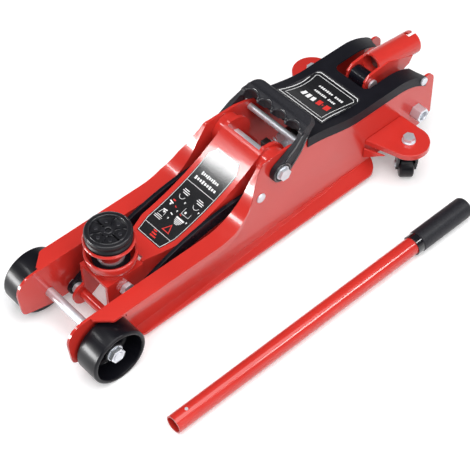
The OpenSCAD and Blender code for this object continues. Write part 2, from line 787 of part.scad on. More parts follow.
module roller_pin() color(zinc) jack() {
  bar_y(roller_q, -cheek_out - 0.4, cheek_out + 0.4, 3);
  both_sides() bar_y(roller_q, cheek_out + 0.3, cheek_out + 2, 5.5);
}

module socket_roller() color(zinc) jack() difference() {
  bar_y(roller_q, 0.4 - cheek_in, cheek_in - 0.4, 6.5);
  bar_y(roller_q, -20, 20, 3 + fit);
}

module release_spindle() color(zinc) jack() {
  bar_x(pivot_p.x - 11.5, pivot_p.x + 7, 0, pivot_p.y, 5);
}

module release_dog() color(dark_steel) jack() along_tube() difference() {
  union() {
    bar_x(socket_bore_len + 0.5, socket_bore_len + 16, 0, 0, 10 - fit);
    bar_x(socket_bore_len + 6 + gap, socket_bore_len + 9, 0, 0, 12.5);
  }
  translate([socket_bore_len, -2.5, -20]) cube([5, 5, 40]);
}

// -------------------------------------------------------------- carry handle

bail_in = web_out + 0.7;
bar_half = 51.5;
bar_dip = 14;
bail_reach = norm(bar_at - pivot_a);
bail_lean = atan2(bar_at.y - pivot_a.y, pivot_a.x - bar_at.x);

// The handle's own frame: its pivot at the origin and its crossbar at -X
module along_bail() translate([pivot_a.x, 0, pivot_a.y]) rotate([0, bail_lean, 0]) children();

module bail_side_view() {
  circle(14.5);
  polygon([[-2, 14], [-bail_reach + 20, 8], [-bail_reach, 6.5], [-bail_reach, -6.5],
    [-bail_reach + 20, -8], [-2, -14]]);
  translate([-bail_reach, 0]) rotate(bail_lean - bar_dip) polygon(concat(
    arc([12.6, 1.9], 2.6, 0, 90, 5),
    arc([-9, 0.5], 4, 90, 180, 6),
    arc([-9.5, -2], 3.5, 180, 270, 6),
    arc([12.6, -1.9], 2.6, 270, 360, 5)
  ));
}

// Plan of the bow with large outer corners
module bail_plan() difference() {
  hull() {
    translate([-bail_reach + 0.5, 0]) both_corners(bar_half - 13, 13);
    translate([-30, -bail_half]) square([50, 2 * bail_half]);
  }
  hull() {
    translate([-bail_reach + 20.5, 0]) both_corners(bar_half - 12, 6);
    translate([-43.4, -bail_in]) square([72, 2 * bail_in]);
  }
}
module both_corners(y, r) for (k = [-1, 1]) translate([0, k * y]) circle(r);

module carry_handle() color(black_part) jack() along_bail() difference() {
  intersection() {
    slab(-bail_half, bail_half) bail_side_view();
    translate([0, 0, -30]) linear_extrude(60) bail_plan();
  }
  translate([-bail_reach, 0, 0]) rotate([0, bar_dip - bail_lean, 0]) for (k = [-1.5:1:1.5])
    translate([18.6, 24.4 * k, 0]) cylinder(h = 40, r = 11.4, center = true);
  bar_y([0, 0], -bail_half - 1, bail_half + 1, 5 + fit);
}

// --------------------------------------------------------------- pump handle

// The handle lies on the floor on its grip and the far end of its tube
module on_floor() translate([nose_at.x - 5, handle_y, tube_r]) rotate([0, handle_tilt, 0]) children();

tube_len = handle_len - 12;
module handle_tube() color(paint) jack() on_floor() difference() {
  bar_x(-tube_len, 0, 0, 0, tube_r);
  bar_x(-tube_len - 1, 1, 0, 0, tube_r - 1.8);
  translate([-20, 0, 0]) cylinder(h = 20, r = 2 + fit);
}

module handle_button() color(zinc) jack() on_floor() translate([-20, 0, tube_r - 4]) cylinder(h = 4.8, r = 2);

module handle_collar() color(black_part) jack() on_floor() difference() {
  bar_x(grip_len - handle_len + 0.1, grip_len - handle_len + 10, 0, 0, grip_r - 0.8);
  bar_x(-handle_len, 0, 0, 0, tube_r + fit);
}

module handle_grip() color(rubber_part) jack() on_floor() difference() {
  rotate([0, -90, 0]) rotate_extrude() polygon(concat(
    [[0, handle_len - grip_len], [grip_r - 1, handle_len - grip_len], [grip_r, handle_len - grip_len + 1]],
    arc([grip_r - 6, handle_len - 6], 6, 0, 90, 8),
    [[0, handle_len]]
  ));
  bar_x(-handle_len + 11.9, 0, 0, 0, tube_r + fit);
}

left_side_plate();
right_side_plate();
front_axle();
axle_nuts();
arm_pivot_shaft();
carry_handle_bolts();
link_rivets();
spacer_rod();
top_cover();
cover_label();
cover_screws();
pump_block();
ram_cylinder();
cylinder_gland();
unit_bolts();
pump_gland();
filler_plug();
left_caster_bracket();
right_caster_bracket();
caster_bolts();
caster_bearings();
socket_pivot_screws();
return_springs();
lift_arm();
arm_label();
arm_bushes();
push_pin();
push_roller();
left_link();
right_link();
saddle_yoke();
yoke_pivot_bolt();
link_cross_pin();
cross_tube();
saddle_bush();
saddle_cup();
saddle_pad();
saddle_washer();
saddle_clip();
ram_rod();
ram_head();
pump_plunger();
handle_socket();
socket_roller();
roller_pin();
release_dog();
release_spindle();
carry_handle();
left_front_wheel();
right_front_wheel();
left_caster_fork();
left_caster_axle();
left_caster_wheel();
right_caster_fork();
right_caster_axle();
right_caster_wheel();
handle_tube();
handle_collar();
handle_grip();
handle_button();
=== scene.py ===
import json
import math
from collections import namedtuple

import bmesh
import bpy
from mathutils import Matrix, Vector
from mathutils.bvhtree import BVHTree


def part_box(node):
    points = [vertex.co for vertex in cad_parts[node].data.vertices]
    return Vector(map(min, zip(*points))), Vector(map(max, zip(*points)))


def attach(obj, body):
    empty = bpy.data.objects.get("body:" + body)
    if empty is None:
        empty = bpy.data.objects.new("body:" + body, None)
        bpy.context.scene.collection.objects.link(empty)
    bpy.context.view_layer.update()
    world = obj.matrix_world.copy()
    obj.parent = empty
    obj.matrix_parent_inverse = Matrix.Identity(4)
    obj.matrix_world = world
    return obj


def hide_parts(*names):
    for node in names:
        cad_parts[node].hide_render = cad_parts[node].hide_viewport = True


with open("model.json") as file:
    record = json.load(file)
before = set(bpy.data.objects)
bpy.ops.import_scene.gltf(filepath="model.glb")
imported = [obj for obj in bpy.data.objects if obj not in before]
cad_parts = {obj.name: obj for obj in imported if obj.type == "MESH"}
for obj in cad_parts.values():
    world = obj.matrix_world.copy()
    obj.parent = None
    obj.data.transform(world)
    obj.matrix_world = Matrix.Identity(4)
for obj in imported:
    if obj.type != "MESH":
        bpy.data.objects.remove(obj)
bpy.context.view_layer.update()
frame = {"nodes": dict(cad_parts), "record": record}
NODES = frame["nodes"]
SLOT_OF = {part["node"]: part["material_slot"] for part in frame["record"]["subparts"]}
BODY_OF = {
    node: body
    for body, nodes in frame["record"]["behaviour"]["bodies"].items()
    for node in nodes
}

# The jack's own origin, on the floor under the middle of the front axle
_lo, _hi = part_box("front_axle")
ORIGIN = Vector(((_lo.x + _hi.x) / 2, (_lo.y + _hi.y) / 2, 0.0))


def mm(length):
    """Millimetres as metres."""
    return length / 1000


def at(x, y, z):
    """A point given in millimetres from the jack's own origin, in the row frame."""
    return ORIGIN + Vector((x, y, z)) / 1000


# ---------------------------------------------------------------- materials

Noise = namedtuple("Noise", "scale detail roughness", defaults=(2.0, 0.5))
# A colour from dark to light, where the noise goes from low to high
Tone = namedtuple("Tone", "noise dark light low high", defaults=(0.3, 0.7))
Gloss = namedtuple("Gloss", "noise smoothest roughest")
# Fine relief, of a height in metres
Relief = namedtuple("Relief", "noise height strength")


class Nodes:
    """Short calls for building a node tree round one Principled shader."""

    def __init__(self, name):
        self.mat = bpy.data.materials.new(name)
        self.mat.use_nodes = True
        self.tree = self.mat.node_tree
        self.tree.nodes.clear()
        out = self.tree.nodes.new("ShaderNodeOutputMaterial")
        self.shader = self.tree.nodes.new("ShaderNodeBsdfPrincipled")
        self.link(self.shader.outputs[0], out.inputs[0])
        coords = self.tree.nodes.new("ShaderNodeTexCoord")
        self.place = coords.outputs["Object"]

    def link(self, a, b):
        self.tree.links.new(a, b)

    def set(self, **values):
        for key, value in values.items():
            self.shader.inputs[key.replace("_", " ")].default_value = value

    def node(self, kind, **inputs):
        n = self.tree.nodes.new("ShaderNode" + kind)
        for key, value in inputs.items():
            socket = n.inputs[key.replace("_", " ")]
            if hasattr(value, "is_output"):
                self.link(value, socket)
            else:
                socket.default_value = value
        return n

    def noise(self, noise):
        n = self.node(
            "TexNoise",
            Vector=self.place,
            Scale=noise.scale,
            Detail=noise.detail,
            Roughness=noise.roughness,
        )
        return n.outputs[0]

    def tone(self, tone):
        r = self.node("ValToRGB", Fac=self.noise(tone.noise))
        stops = ((tone.low, tone.dark), (tone.high, tone.light))
        for el, (position, colour) in zip(r.color_ramp.elements, stops):
            el.position, el.color = position, (*colour, 1)
        self.link(r.outputs[0], self.shader.inputs["Base Color"])

    def gloss(self, gloss):
        n = self.node(
            "MapRange",
            Value=self.noise(gloss.noise),
            To_Min=gloss.smoothest,
            To_Max=gloss.roughest,
        )
        self.link(n.outputs[0], self.shader.inputs["Roughness"])

    def relief(self, relief):
        b = self.node(
            "Bump",
            Height=self.noise(relief.noise),
            Distance=relief.height,
            Strength=relief.strength,
        )
        self.link(b.outputs[0], self.shader.inputs["Normal"])


def material(name, tone, gloss=None, relief=None, **shader):
    """A material whose colour, roughness and surface vary a little from place to place."""
    m = Nodes(name)
    m.tone(tone)
    if gloss:
        m.gloss(gloss)
    m.set(**shader)
    if relief:
        m.relief(relief)
    return m.mat


def grey(value):
    return value, value, value


def ink(name, dark, light):
    return material(name, Tone(Noise(200, 3), dark, light), Gloss(Noise(300), 0.25, 0.35))


RED = material(
    "red_enamel",
    Tone(Noise(9, 3), (0.53, 0.026, 0.019), (0.59, 0.033, 0.024)),
    Gloss(Noise(70, 3, 0.6), 0.14, 0.24),
    Relief(Noise(90), 0.00006, 0.35),
    Coat_Weight=0.35, Coat_Roughness=0.05, Specular_IOR_Level=0.4,
)
BLACK = material(
    "black_enamel",
    Tone(Noise(30, 3), (0.003, 0.003, 0.006), (0.006, 0.006, 0.010)),
    Gloss(Noise(80, 3), 0.22, 0.34),
    Relief(Noise(110), 0.00005, 0.4),
    Coat_Weight=0.08, Coat_Roughness=0.1, Specular_IOR_Level=0.18,
)
PLASTIC = material(
    "black_plastic",
    Tone(Noise(40, 3), (0.003, 0.003, 0.006), (0.006, 0.006, 0.010)),
    Gloss(Noise(300, 3), 0.38, 0.5),
    Relief(Noise(900), 0.00006, 0.6),
    Specular_IOR_Level=0.2,
)
WHEEL = material(
    "moulded_wheel",
    Tone(Noise(40, 3), (0.003, 0.003, 0.005), (0.006, 0.006, 0.009)),
    Gloss(Noise(120, 3), 0.30, 0.36),
    Relief(Noise(300), 0.00004, 0.4),
    Coat_Weight=0.1, Coat_Roughness=0.15, Specular_IOR_Level=0.18,
)
GRIP = material(
    "grained_grip",
    Tone(Noise(500, 3, 0.7), (0.003, 0.003, 0.006), (0.013, 0.013, 0.018), 0.35, 0.65),
    Gloss(Noise(400, 3), 0.40, 0.55),
    Relief(Noise(650, 3, 0.7), 0.00018, 1.0),
    Specular_IOR_Level=0.35,
)
COLLAR = material(
    "glossy_collar",
    Tone(Noise(60), (0.004, 0.004, 0.006), (0.008, 0.008, 0.010)),
    Gloss(Noise(120), 0.10, 0.18),
    Coat_Weight=0.6, Coat_Roughness=0.05,
)
# For beads and ribs: smoother and glossier than the faces beside them, and lighter in colour,
# which is a painted highlight along them
EDGE_HIGHLIGHT = material(
    "edge_painted_highlight",
    Tone(Noise(150, 3), (0.008, 0.008, 0.011), (0.022, 0.022, 0.027)),
    Gloss(Noise(200), 0.16, 0.28),
    Relief(Noise(300), 0.00003, 0.4),
    Coat_Weight=0.5, Coat_Roughness=0.12,
)
WHITE_INK = ink("white_ink", grey(0.80), grey(0.86))
RED_INK = ink("red_ink", (0.62, 0.02, 0.016), (0.7, 0.03, 0.022))
ZINC = material(
    "zinc_plate",
    Tone(Noise(60, 4, 0.6), (0.58, 0.60, 0.64), (0.78, 0.81, 0.86), 0.25, 0.75),
    Gloss(Noise(90, 3, 0.6), 0.30, 0.44),
    Relief(Noise(160), 0.00004, 0.4),
    Metallic=0.65,
)
STEEL = material(
    "machined_steel",
    Tone(Noise(50, 4, 0.6), grey(0.10), grey(0.20), 0.25, 0.75),
    Gloss(Noise(120, 4, 0.7), 0.28, 0.5),
    Relief(Noise(200), 0.00004, 0.5),
    Metallic=1.0,
)
RUBBER = material(
    "black_rubber",
    Tone(Noise(55, 4, 0.6), (0.005, 0.005, 0.007), (0.012, 0.012, 0.015), 0.25, 0.75),
    Gloss(Noise(500, 4), 0.36, 0.5),
    Relief(Noise(1500, 3), 0.00008, 0.6),
    Specular_IOR_Level=0.25,
)
FILM = material(
    "label_film",
    Tone(Noise(25), (0.006, 0.006, 0.007), (0.010, 0.010, 0.011)),
    Gloss(Noise(40), 0.17, 0.22),
    Relief(Noise(50, 1), 0.00005, 0.3),
    Coat_Weight=0.8, Coat_Roughness=0.14,
)

BY_SLOT = {
    "red_paint": RED, "black_paint": BLACK, "zinc_steel": ZINC, "raw_steel": STEEL,
    "black_plastic": PLASTIC, "label_film": FILM, "rubber": RUBBER,
}
# Nodes with another finish than the rest of their slot
OWN_FINISH = {
    "handle_grip": GRIP, "carry_handle": GRIP, "handle_collar": COLLAR,
    "left_front_wheel": WHEEL, "right_front_wheel": WHEEL,
    "left_caster_wheel": WHEEL, "right_caster_wheel": WHEEL,
}


def finish_of(node):
    return OWN_FINISH.get(node, BY_SLOT[SLOT_OF[node]])


for name, obj in NODES.items():
    obj.data.materials.clear()
    obj.data.materials.append(finish_of(name))

# ---------------------------------------------------------------- mesh pieces

WELD_WITHIN = 2e-6
FLAT_BELOW = math.radians(0.3)
SMOOTH_BELOW = math.radians(38)
ROUND_ABOVE = math.radians(26)
ROUND_SEGMENTS = 2


def mesh_of(bm, name):
    """Turns a bmesh into a mesh, and frees it."""
    mesh = bpy.data.meshes.new(name)
    bm.to_mesh(mesh)
    bm.free()
    return mesh


def new_object(name, mesh, finish, body, replaces=()):
    """Makes a piece of a mesh, and says what it is made of and what it rides on."""
    obj = bpy.data.objects.new(name, mesh)
    bpy.context.scene.collection.objects.link(obj)
    mesh.materials.clear()
    mesh.materials.append(finish)
    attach(obj, body)
    for node in replaces:
        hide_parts(node)
    return obj


def rounded(node, width):
    """A copy of a CAD node with its sharp edges rounded off, in place of the node."""
    name = node + "_rounded"
    bm = bmesh.new()
    bm.from_mesh(NODES[node].data)
    bmesh.ops.remove_doubles(bm, verts=bm.verts, dist=WELD_WITHIN)
    bmesh.ops.dissolve_limit(bm, angle_limit=FLAT_BELOW, verts=bm.verts, edges=bm.edges)
    mesh = mesh_of(bm, name)
    for polygon in mesh.polygons:
        polygon.use_smooth = True
    mesh.set_sharp_from_angle(angle=SMOOTH_BELOW)
    obj = new_object(name, mesh, finish_of(node), BODY_OF[node], [node])
    bevel = obj.modifiers.new("round", "BEVEL")
    bevel.width = mm(width)
    bevel.segments = ROUND_SEGMENTS
    bevel.limit_method = "ANGLE"
    bevel.angle_limit = ROUND_ABOVE
    bevel.use_clamp_overlap = True
    bevel.harden_normals = True


class Skin:
    """The surface of a CAD node, for laying thin pieces on it."""

    # Where the rays start, in millimetres: above the whole object, and beside it
    ABOVE, BESIDE = 300, 160

    def __init__(self, node):
        bm = bmesh.new()
        bm.from_mesh(NODES[node].data)
        self.tree = BVHTree.FromBMesh(bm)
        bm.free()

    def hit(self, start, way):
        place, normal, _, _ = self.tree.ray_cast(start, way)
        if place is None:
            place, normal, _, _ = self.tree.find_nearest(start)
        return place, normal if normal.dot(way) < 0 else -normal

    def under(self, x, y):
        return self.hit(at(x, y, self.ABOVE), Vector((0, 0, -1)))

    def beside(self, x, z, side):
        return self.hit(at(x, self.BESIDE * side, z), Vector((0, -side, 0)))


def walk(points, step, closed=False):
    """The points of a path with none further apart than step."""
    pairs = list(zip(points, points[1:] + points[:1] if closed else points[1:]))
    out = []
    for a, b in pairs:
        a, b = Vector(a), Vector(b)
        n = max(1, math.ceil((b - a).length / step))
        out += [a.lerp(b, i / n) for i in range(n)]
    return out if closed else out + [Vector(points[-1])]


def arc2(cx, cy, r, a0, a1, n):
    """An arc of n equal steps between two angles in degrees."""
    turns = [math.radians(a0 + (a1 - a0) * i / n) for i in range(n + 1)]
    return [(cx + r * math.cos(t), cy + r * math.sin(t)) for t in turns]


def unit_circle(n):
    turns = [math.tau * i / n for i in range(n)]
    return [(math.cos(t), math.sin(t)) for t in turns]


def mirrored(side):
    """A closed outline from its left side, with the right side to match."""
    return side + [(x, -y) for x, y in reversed(side)]


def inset(points, by):
    """A closed outline, given anticlockwise, drawn in by a distance."""
    sharpest = 0.4
    n, out = len(points), []
    for i in range(n):
        a, p, b = Vector(points[i - 1]), Vector(points[i]), Vector(points[(i + 1) % n])
        u, v = (p - a).normalized(), (b - p).normalized()
        inward = Vector((-u.y, u.x))
        bisector = (inward + Vector((-v.y, v.x))).normalized()
        out.append(p + bisector * by / max(sharpest, bisector.dot(inward)))
    return out


class Print:
    """Thin closed shapes of ink that lie on a node's upper surface."""

    # In metres
    SUNK = 0.0001
    # The longest step of an outline, and of a line, in millimetres
    FILL_STEP, LINE_STEP = 4, 3
    SHARPEST = 0.5
    DISC_SIDES = 20

    def __init__(self, node, raised):
        self.skin = Skin(node)
        self.bm = bmesh.new()
        self.up = mm(raised)

    def prism(self, outline, faces):
        rows = []
        for lift in (-self.SUNK, self.up):
            row = []
            for p in outline:
                place, normal = self.skin.under(p[0], p[1])
                row.append(self.bm.verts.new(place + normal * lift))
            rows.append(row)
        bottom, top = rows
        edges = {}
        for face in faces:
            self.bm.faces.new([top[i] for i in face])
            self.bm.faces.new([bottom[i] for i in reversed(face)])
            for edge in zip(face, face[1:] + face[:1]):
                edges[edge] = True
        for a, b in edges:
            if (b, a) not in edges:
                self.bm.faces.new([bottom[a], bottom[b], top[b], top[a]])

    def fill(self, outline):
        """A filled shape, given anticlockwise; it must see all its corners from its middle."""
        points = walk(outline, self.FILL_STEP, closed=True)
        middle = sum((Vector(p) for p in outline), Vector((0, 0))) / len(outline)
        n = len(points)
        self.prism(points + [middle], [[i, (i + 1) % n, n] for i in range(n)])

    def line(self, path, width, closed=False):
        points = walk(path, self.LINE_STEP, closed)
        n = len(points)
        left, right = [], []
        for i, p in enumerate(points):
            before = points[i - 1] if closed or i else None
            after = points[(i + 1) % n] if closed or i < n - 1 else None
            ins = ((p - before) if before is not None else (after - p)).normalized()
            outs = (after - p).normalized() if after is not None else ins
            turn = (ins + outs).normalized()
            side = Vector((-turn.y, turn.x))
            reach = width / 2 / max(self.SHARPEST, side.dot(Vector((-ins.y, ins.x))))
            left.append(p + side * reach)
            right.append(p - side * reach)
        last = n if closed else n - 1
        quads = [[i, (i + 1) % n, n + (i + 1) % n, n + i] for i in range(last)]
        self.prism(right + left, quads)

    def disc(self, x, y, r):
        n = self.DISC_SIDES
        self.fill(arc2(x, y, r, 0, 360 - 360 / n, n - 1))

    def bar(self, x, y, length, width, turn=0.0):
        """A filled bar with its long side along Y, or turned from it by turn degrees."""
        c, s = math.cos(math.radians(turn)), math.sin(math.radians(turn))
        u, v = width / 2, length / 2
        corners = [(-u, -v), (u, -v), (u, v), (-u, v)]
        self.fill([(x + p * c - q * s, y + p * s + q * c) for p, q in corners])

    def done(self, name, finish, body):
        bmesh.ops.recalc_face_normals(self.bm, faces=self.bm.faces)
        new_object(name, mesh_of(self.bm, name), finish, body)


BEAD_SIDES = 8


def bead(bm, path, radius, closed):
    """A rounded rib along a path of (place, normal) pairs, half sunk into the surface."""
    n = len(path)
    rings = []
    for i, (p, normal) in enumerate(path):
        before = path[i - 1][0] if closed or i else p
        after = path[(i + 1) % n][0] if closed or i < n - 1 else p
        along = (after - before).normalized()
        across = along.cross(normal).normalized()
        up = across.cross(along)
        turns = [2 * math.pi * k / BEAD_SIDES for k in range(BEAD_SIDES)]
        offsets = [math.cos(t) * across + math.sin(t) * up for t in turns]
        rings.append([bm.verts.new(p + radius * offset) for offset in offsets])
    for i in range(n if closed else n - 1):
        a, b = rings[i], rings[(i + 1) % n]
        for k in range(BEAD_SIDES):
            j = (k + 1) % BEAD_SIDES
            bm.faces.new([a[k], a[j], b[j], b[k]])
    if not closed:
        bm.faces.new(rings[0])
        bm.faces.new(list(reversed(rings[-1])))


def beads(name, paths, radius, body):
    """One piece of several beads, given as (path, closed) pairs."""
    bm = bmesh.new()
    for path, closed in paths:
        bead(bm, path, mm(radius), closed)
    bmesh.ops.recalc_face_normals(bm, faces=bm.faces)
    for face in bm.faces:
        face.smooth = len(face.verts) == 4
    # The beads' lighter colour is a painted highlight along them
    new_object(name, mesh_of(bm, name), EDGE_HIGHLIGHT, body)


# ---------------------------------------------------------------- rounded metal and plastic

# How widely each node's edges are rounded, in millimetres
ROUND_BY = {
    "left_side_plate": 0.8, "right_side_plate": 0.8, "lift_arm": 1.0,
    "left_link": 0.8, "right_link": 0.8, "saddle_yoke": 1.1, "saddle_cup": 0.9,
    "saddle_pad": 0.5, "saddle_bush": 0.4, "top_cover": 1.0, "pump_block": 1.0,
    "left_caster_bracket": 1.0, "right_caster_bracket": 1.0, "handle_socket": 0.8,
    "carry_handle": 1.6, "left_front_wheel": 0.9, "right_front_wheel": 0.9,
    "left_caster_fork": 0.5, "right_caster_fork": 0.5,
    "left_caster_wheel": 0.8, "right_caster_wheel": 0.8, "axle_nuts": 0.4,
    "carry_handle_bolts": 0.5, "unit_bolts": 0.5, "caster_bolts": 0.5,
    "cover_screws": 0.5, "socket_pivot_screws": 0.4, "link_rivets": 0.4,
    "yoke_pivot_bolt": 0.4, "cylinder_gland": 0.5, "ram_head": 0.6,
    "socket_roller": 0.5, "handle_collar": 0.4, "front_axle": 0.5,
}
for node, width in ROUND_BY.items():
    rounded(node, width)

# ---------------------------------------------------------------- printed labels

# Places and sizes on the labels are in millimetres, from the jack's own origin
ARM_LABEL = mirrored([(-117.5, 20.5), (-138, 25.6), (-237, 26), (-248, 19)])
ARM_INK_RAISED, COVER_INK_RAISED = 0.12, 0.2
COVER_BOW_X, COVER_BOW_Y, COVER_BOW_RADIUS = -395, 166, 129
COVER_REAR_CORNER = [(-432, 37), (-435.4, 33.5)]


def arm_label_frame(white):
    """The border, and the two rules that part the label in three."""
    white.line(inset(ARM_LABEL, 1.2), 0.55, closed=True)
    for x, half in ((-133, 23.2), (-201, 24.6)):
        white.line([(x, -half), (x, half)], 0.5)


def arm_label_heading(white):
    """Two rows of plain blocks where the real label has words."""
    tall, short = 4.2, 3.0
    for x, length in ((-209, 34), (-217, 27)):
        for i in range(9):
            y = (i - 4) * length / 8.2
            white.bar(x, y, length / 13, short if i % 3 else tall, -6 if i % 2 else 4)


def arm_label_signs(white, red):
    """Generic marks in the places of the real label's pictures."""
    for x, y in ((-187, -12), (-187, 13)):
        for i, wide in enumerate((9, 12, 8)):
            white.bar(x - 2.3 * i, y - (i - 1), wide, 0.9)
        white.line(arc2(x + 3.2, y, 4.6, -80, 80, 8), 0.5)
    for x, y, turn in ((-170, -17, -10), (-158, -15, 8)):
        white.bar(x, y, 6.5, 1.5, turn)
        white.bar(x + 2.6, y + 0.6, 2.2, 2.6, turn)
    red.bar(-173.4, -16, 4, 1.8)
    for x, y in ((-178, -2.5), (-165, -2), (-179, 21), (-161, 19), (-152, -4)):
        white.fill([(x - 1.3, y - 1.1), (x + 1.3, y), (x - 1.3, y + 1.1)])
    for x, y in ((-168.5, -8), (-164.5, 5)):
        red.bar(x, y, 3.2, 1.2, -20)
    white.bar(-159, -5, 4, 1.4, -15)
    white.disc(-170, 8, 1.5)
    white.line([(-175, 4), (-166.5, 4), (-166.5, 16), (-172, 16)], 0.45)
    for i, wide in enumerate((11, 13, 9)):
        white.bar(-144.6 - 2.1 * i, -15.5, wide, 0.7)
    white.line([(-151, -11), (-156, -12), (-156, -18), (-151, -19.5)], 0.5)
    white.bar(-160, 9.4, 13, 2.2)
    for i, wide in enumerate((12, 11, 8.6, 5)):
        white.bar(-157.6 + 1.7 * i, 9.4, wide, 0.8)
    red.line([(-138.2, 2.2), (-148.4, 7.6), (-138.2, 13)], 1.1, closed=True)
    for i in range(3):
        red.bar(-123.6 - 3.6 * i, 1 - 1.5 * (i - 1) - 1.5, 9.5 - 2 * i, 2.0)


def arm_label_print():
    white, red = Print("arm_label", ARM_INK_RAISED), Print("arm_label", ARM_INK_RAISED)
    arm_label_frame(white)
    arm_label_heading(white)
    arm_label_signs(white, red)
    white.done("arm_label_white", WHITE_INK, BODY_OF["arm_label"])
    red.done("arm_label_red", RED_INK, BODY_OF["arm_label"])


def cover_label_outline():
    """Sides that bow inwards, and cut corners at the rear."""
    side = []
    for x in range(-364, -430, -8):
        drop = math.sqrt(COVER_BOW_RADIUS ** 2 - (x - COVER_BOW_X) ** 2)
        side.append((x, COVER_BOW_Y - drop))
    return mirrored(side + COVER_REAR_CORNER)


def cover_label_blocks(white, red):
    """A row of large blocks, red and then white, and two rows of small ones."""
    for y, wide, tall in ((21, 9, 10), (13.5, 2.4, 2.4), (8, 8, 10)):
        red.bar(-391, y, wide * 0.8, tall, 8)
    for i, y in enumerate((-2, -10, -18)):
        white.bar(-390, y, 5.4, 8.4, 12 - 10 * i)
    left_out = 7
    for x, shift, half in ((-405, 3, 18), (-415, 4, 21)):
        for i in range(12):
            if i != left_out:
                y = shift + half * (i - 5.5) / 6
                white.bar(x, y, half / 8.5, 3.4 if i % 3 else 2.6)


def cover_label_print():
    white, red = Print("cover_label", COVER_INK_RAISED), Print("cover_label", COVER_INK_RAISED)
    edge = cover_label_outline()
    white.line(inset(edge, 2.1), 1.0, closed=True)
    white.line(inset(edge, 7), 0.6, closed=True)
    cover_label_blocks(white, red)
    white.done("cover_label_white", WHITE_INK, BODY_OF["cover_label"])
    red.done("cover_label_red", RED_INK, BODY_OF["cover_label"])
    skin = Skin("cover_label")
    rim = [skin.under(p.x, p.y) for p in walk(inset(edge, 0.5), 3, closed=True)]
    beads("cover_label_rim", [(rim, True)], 0.9, BODY_OF["top_cover"])


# ---------------------------------------------------------------- moulded ribs and relief

# The middle of the carry handle's bolts, and of its grip, as (x, z) in millimetres
CARRY_PIVOT, CARRY_BAR = Vector((-282, 122)), Vector((-331.5, 160))
# A rib's places along the arm from the pivot, and off the arm's middle line
CARRY_RIB = ((13, 8.2), (20, 8.6), (32, 7.2), (44, 6.0), (54, 5.2))
CARRY_RING_RADIUS = 12.6
SCALLOP_PITCH, SCALLOP_RADIUS = 24.4, 12.4
# Behind the grip's middle, where the scallops' arcs have their centres
SCALLOP_BACK = 18.3

# In metres: how far the pad's ribbed floor lies below its top, and how high the relief is
PAD_RECESS, PAD_SUNK, PAD_RIB_HEIGHT, PAD_STUD_HEIGHT = 0.0036, 0.001, 0.0018, 0.0014
PAD_BEVEL = 0.0005
# A rib's half outline and the studs, in millimetres from the pad's middle
PAD_RIB_SIDE = [(6, -3.8), (9.5, -1.6), (17, -1.2), (21.6, -3.4)]
PAD_STUD_AT, PAD_STUD_RADIUS = 15, 2.6
PAD_RIBS = 6


def carry_handle_ribs():
    """On each arm's outside, a ring round the bolt and two ribs towards the grip."""
    skin = Skin("carry_handle")
    out = (CARRY_BAR - CARRY_PIVOT).normalized()
    up = Vector((-out.y, out.x))
    ring = [CARRY_PIVOT + CARRY_RING_RADIUS * Vector(p) for p in unit_circle(36)]
    paths = []
    for side in (1, -1):
        paths.append(([skin.beside(p.x, p.y, side) for p in ring], True))
        for k in (1, -1):
            run = [CARRY_PIVOT + out * u + up * k * v for u, v in CARRY_RIB]
            paths.append(([skin.beside(p.x, p.y, side) for p in run], False))
    beads("carry_handle_ribs", paths, 1.3, BODY_OF["carry_handle"])


def carry_handle_scallops():
    """Rims along the four finger scallops of the grip."""
    skin = Skin("carry_handle")
    rims = []
    for k in (-1.5, -0.5, 0.5, 1.5):
        centre_x, centre_y = CARRY_BAR.x + SCALLOP_BACK, SCALLOP_PITCH * k
        rim = arc2(centre_x, centre_y, SCALLOP_RADIUS, 118, 242, 14)
        rims.append(([skin.under(x, y) for x, y in rim], False))
    beads("carry_handle_scallops", rims, 0.8, BODY_OF["carry_handle"])


def saddle_pad_relief():
    """Flared ribs and small round studs on the floor of the pad's recess."""
    lo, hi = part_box("saddle_pad")
    cx, cy = (lo.x + hi.x) / 2, (lo.y + hi.y) / 2
    floor = hi.z - PAD_RECESS
    rib_outline = mirrored(PAD_RIB_SIDE)
    stud_outline = arc2(0, 0, PAD_STUD_RADIUS, 0, 340, 17)
    bm = bmesh.new()

    def block(points, height):
        bottom, top = (
            [bm.verts.new((cx + mm(x), cy + mm(y), z)) for x, y in points]
            for z in (floor - PAD_SUNK, floor + height)
        )
        n = len(points)
        bm.faces.new(top)
        bm.faces.new(list(reversed(bottom)))
        for i in range(n):
            j = (i + 1) % n
            bm.faces.new([bottom[i], bottom[j], top[j], top[i]])

    def turned(degrees):
        return math.cos(math.radians(degrees)), math.sin(math.radians(degrees))

    for k in range(PAD_RIBS):
        c, s = turned(60 * k + 30)
        block([(u * c - v * s, u * s + v * c) for u, v in rib_outline], PAD_RIB_HEIGHT)
        c, s = turned(60 * k)
        stud = [(PAD_STUD_AT * c + x, PAD_STUD_AT * s + y) for x, y in stud_outline]
        block(stud, PAD_STUD_HEIGHT)
    bmesh.ops.recalc_face_normals(bm, faces=bm.faces)
    mesh = mesh_of(bm, "saddle_pad_relief")
    # The relief takes the same lighter colour, a painted highlight on its ribs and studs
    obj = new_object("saddle_pad_relief", mesh, EDGE_HIGHLIGHT, BODY_OF["saddle_pad"])
    bevel = obj.modifiers.new("round", "BEVEL")
    bevel.width, bevel.segments = PAD_BEVEL, ROUND_SEGMENTS


